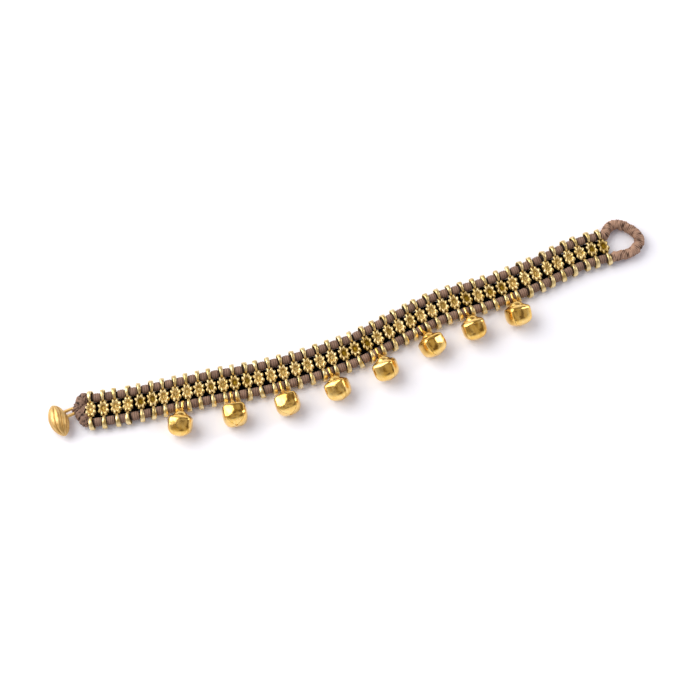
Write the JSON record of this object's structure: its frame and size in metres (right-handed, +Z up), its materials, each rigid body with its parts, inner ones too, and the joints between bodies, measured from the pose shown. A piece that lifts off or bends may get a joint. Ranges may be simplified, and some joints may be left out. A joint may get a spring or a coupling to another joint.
{
  "type": "bell bracelet",
  "caption": "Open bell bracelet: rosette links in a row on two waxed cords, small jingle bells along one edge, a toggle button at one end and a stitched loop at the other.",
  "frame": {"origin": "middle of the bracelet as it lies open, on the table", "axes": "+X from the toggle button to the button loop, +Y away from the bells, +Z up from the table through the rosettes"},
  "size_m": [0.195, 0.0298, 0.0084],
  "materials": {
    "link_brass": "cast pale brass, satin, darker in the hollows",
    "bell_gold": "stamped and polished, gold-plated",
    "button_gold": "cast, satin gold-plated",
    "pellet_steel": "plain turned steel pellet",
    "waxed_cord": "taupe waxed thread, closely wrapped",
    "core_black": "black waxed cord"
  },
  "bodies": {
    "band_1": {"links_01_to_02": "link_brass", "end_wrap": "waxed_cord"},
    "band_2": {"links_03_to_06": "link_brass"},
    "band_3": {"link_07": "link_brass", "link_08": "link_brass", "link_09": "link_brass", "link_10": "link_brass"},
    "band_4": {"link_11": "link_brass", "link_12": "link_brass", "link_13": "link_brass", "link_14": "link_brass"},
    "band_5": {"link_15": "link_brass", "link_16": "link_brass", "link_17": "link_brass", "link_18": "link_brass"},
    "band_6": {"link_19": "link_brass", "link_20": "link_brass", "link_21": "link_brass", "link_22": "link_brass"},
    "band_7": {"link_23": "link_brass", "link_24": "link_brass", "link_25": "link_brass", "link_26": "link_brass", "upper_cord": "waxed_cord", "lower_cord": "waxed_cord", "core_cord": "core_black"},
    "band_8": {"link_27": "link_brass", "link_28": "link_brass", "link_29": "link_brass", "link_30": "link_brass"},
    "band_9": {"link_31": "link_brass", "link_32": "link_brass", "link_33": "link_brass", "link_34": "link_brass"},
    "band_10": {"link_35": "link_brass", "link_36": "link_brass", "link_37": "link_brass", "link_38": "link_brass"},
    "band_11": {"links_39_to_42": "link_brass"},
    "band_12": {"link_43": "link_brass", "link_44": "link_brass", "link_45": "link_brass", "button_loop": "waxed_cord"},
    "swinging_bell_1": {"bell_1": "bell_gold"},
    "loose_pellet_1": {"pellet_1": "pellet_steel"},
    "swinging_bell_2": {"bell_2": "bell_gold"},
    "loose_pellet_2": {"pellet_2": "pellet_steel"},
    "swinging_bell_3": {"bell_3": "bell_gold"},
    "loose_pellet_3": {"pellet_3": "pellet_steel"},
    "swinging_bell_4": {"bell_4": "bell_gold"},
    "loose_pellet_4": {"pellet_4": "pellet_steel"},
    "swinging_bell_5": {"bell_5": "bell_gold"},
    "loose_pellet_5": {"pellet_5": "pellet_steel"},
    "swinging_bell_6": {"bell_6": "bell_gold"},
    "loose_pellet_6": {"pellet_6": "pellet_steel"},
    "swinging_bell_7": {"bell_7": "bell_gold"},
    "loose_pellet_7": {"pellet_7": "pellet_steel"},
    "swinging_bell_8": {"bell_8": "bell_gold"},
    "loose_pellet_8": {"pellet_8": "pellet_steel"},
    "button": {"toggle_button": "button_gold"}
  },
  "joints": [
    {"name": "flex_1", "type": "hinge", "parent": "band_2", "child": "band_1", "pos_m": [-0.07851, 0.00636, 0.0026], "axis": [0.1747, 0.9846, 0], "range_deg": [-24, 24], "deforming": ["upper_cord", "lower_cord", "core_cord"]},
    {"name": "flex_2", "type": "hinge", "parent": "band_3", "child": "band_2", "pos_m": [-0.06364, 0.0045, 0.0026], "axis": [0.1045, 0.9945, 0], "range_deg": [-24, 24], "deforming": ["upper_cord", "lower_cord", "core_cord"]},
    {"name": "flex_3", "type": "hinge", "parent": "band_4", "child": "band_3", "pos_m": [-0.04897, 0.00292, 0.0026], "axis": [0.1213, 0.9926, 0], "range_deg": [-24, 24], "deforming": ["upper_cord", "lower_cord", "core_cord"]},
    {"name": "flex_4", "type": "hinge", "parent": "band_5", "child": "band_4", "pos_m": [-0.03415, 0.00081, 0.0026], "axis": [0.1229, 0.9924, 0], "range_deg": [-24, 24], "deforming": ["upper_cord", "lower_cord", "core_cord"]},
    {"name": "flex_5", "type": "hinge", "parent": "band_6", "child": "band_5", "pos_m": [-0.01862, -0.00024, 0.0026], "axis": [0.0298, 0.9996, 0], "range_deg": [-24, 24], "deforming": ["upper_cord", "lower_cord", "core_cord"]},
    {"name": "flex_6", "type": "hinge", "parent": "band_7", "child": "band_6", "pos_m": [-0.00287, 0, 0.0026], "axis": [-0.0738, 0.9973, 0], "range_deg": [-24, 24], "deforming": ["upper_cord", "lower_cord", "core_cord"]},
    {"name": "flex_7", "type": "hinge", "parent": "band_7", "child": "band_8", "pos_m": [0.01259, 0.00245, 0.0026], "axis": [0.1797, -0.9837, 0], "range_deg": [-24, 24], "deforming": ["upper_cord", "lower_cord", "core_cord"]},
    {"name": "flex_8", "type": "hinge", "parent": "band_8", "child": "band_9", "pos_m": [0.0277, 0.00476, 0.0026], "axis": [0.0893, -0.996, 0], "range_deg": [-24, 24], "deforming": ["upper_cord", "lower_cord", "core_cord"]},
    {"name": "flex_9", "type": "hinge", "parent": "band_9", "child": "band_10", "pos_m": [0.04328, 0.00465, 0.0026], "axis": [-0.0129, -0.9999, 0], "range_deg": [-24, 24], "deforming": ["upper_cord", "lower_cord", "core_cord"]},
    {"name": "flex_10", "type": "hinge", "parent": "band_10", "child": "band_11", "pos_m": [0.05907, 0.0055, 0.0026], "axis": [0.1035, -0.9946, 0], "range_deg": [-24, 24], "deforming": ["upper_cord", "lower_cord", "core_cord"]},
    {"name": "flex_11", "type": "hinge", "parent": "band_11", "child": "band_12", "pos_m": [0.07479, 0.00771, 0.0026], "axis": [0.0898, -0.996, 0], "range_deg": [-24, 24], "deforming": ["upper_cord", "lower_cord", "core_cord"]},
    {"name": "bell_swing_1", "type": "hinge", "parent": "band_3", "child": "swinging_bell_1", "pos_m": [-0.05721, -0.00042, 0.0021], "axis": [-0.9945, 0.1045, 0], "range_deg": [-100, 85]},
    {"name": "pellet_rattle_1", "type": "slide", "parent": "swinging_bell_1", "child": "loose_pellet_1", "axis": [0.1123, 0.2647, 0.9578], "range_m": [0, 0.0032]},
    {"name": "bell_swing_2", "type": "hinge", "parent": "band_4", "child": "swinging_bell_2", "pos_m": [-0.04214, -0.00233, 0.0021], "axis": [-0.9883, 0.1526, 0], "range_deg": [-100, 85]},
    {"name": "pellet_rattle_2", "type": "slide", "parent": "swinging_bell_2", "child": "loose_pellet_2", "axis": [0.0389, 0.2849, 0.9578], "range_m": [0, 0.0032]},
    {"name": "bell_swing_3", "type": "hinge", "parent": "band_5", "child": "swinging_bell_3", "pos_m": [-0.02664, -0.00412, 0.0021], "axis": [-0.9982, 0.06, 0], "range_deg": [-100, 85]},
    {"name": "pellet_rattle_3", "type": "slide", "parent": "swinging_bell_3", "child": "loose_pellet_3", "axis": [0.0022, 0.2875, 0.9578], "range_m": [0, 0.0032]},
    {"name": "bell_swing_4", "type": "hinge", "parent": "band_6", "child": "swinging_bell_4", "pos_m": [-0.0109, -0.00454, 0.0021], "axis": [-0.9999, -0.0123, 0], "range_deg": [-100, 85]},
    {"name": "pellet_rattle_4", "type": "slide", "parent": "swinging_bell_4", "child": "loose_pellet_4", "axis": [-0.0186, 0.2869, 0.9578], "range_m": [0, 0.0032]},
    {"name": "bell_swing_5", "type": "hinge", "parent": "band_7", "child": "swinging_bell_5", "pos_m": [0.00507, -0.00322, 0.0021], "axis": [-0.984, -0.1782, 0], "range_deg": [-100, 85]},
    {"name": "pellet_rattle_5", "type": "slide", "parent": "swinging_bell_5", "child": "loose_pellet_5", "axis": [-0.0214, 0.2867, 0.9578], "range_m": [0, 0.0032]},
    {"name": "bell_swing_6", "type": "hinge", "parent": "band_8", "child": "swinging_bell_6", "pos_m": [0.02041, -0.0005, 0.0021], "axis": [-0.9873, -0.159, 0], "range_deg": [-100, 85]},
    {"name": "pellet_rattle_6", "type": "slide", "parent": "swinging_bell_6", "child": "loose_pellet_6", "axis": [-0.0654, 0.28, 0.9578], "range_m": [0, 0.0032]},
    {"name": "bell_swing_7", "type": "hinge", "parent": "band_9", "child": "swinging_bell_7", "pos_m": [0.03568, 0.00067, 0.0021], "axis": [-0.9993, 0.037, 0], "range_deg": [-100, 85]},
    {"name": "pellet_rattle_7", "type": "slide", "parent": "swinging_bell_7", "child": "loose_pellet_7", "axis": [-0.0144, 0.2872, 0.9578], "range_m": [0, 0.0032]},
    {"name": "bell_swing_8", "type": "hinge", "parent": "band_10", "child": "swinging_bell_8", "pos_m": [0.0511, 0.00061, 0.0021], "axis": [-0.9981, -0.0608, 0], "range_deg": [-100, 85]},
    {"name": "pellet_rattle_8", "type": "slide", "parent": "swinging_bell_8", "child": "loose_pellet_8", "axis": [0.0226, 0.2866, 0.9578], "range_m": [0, 0.0032]},
    {"name": "button_turn", "type": "hinge", "parent": "band_1", "child": "button", "pos_m": [-0.08976, 0.00908, 0.0021], "axis": [0, 0, 1], "range_deg": [-35, 35]}
  ]
}
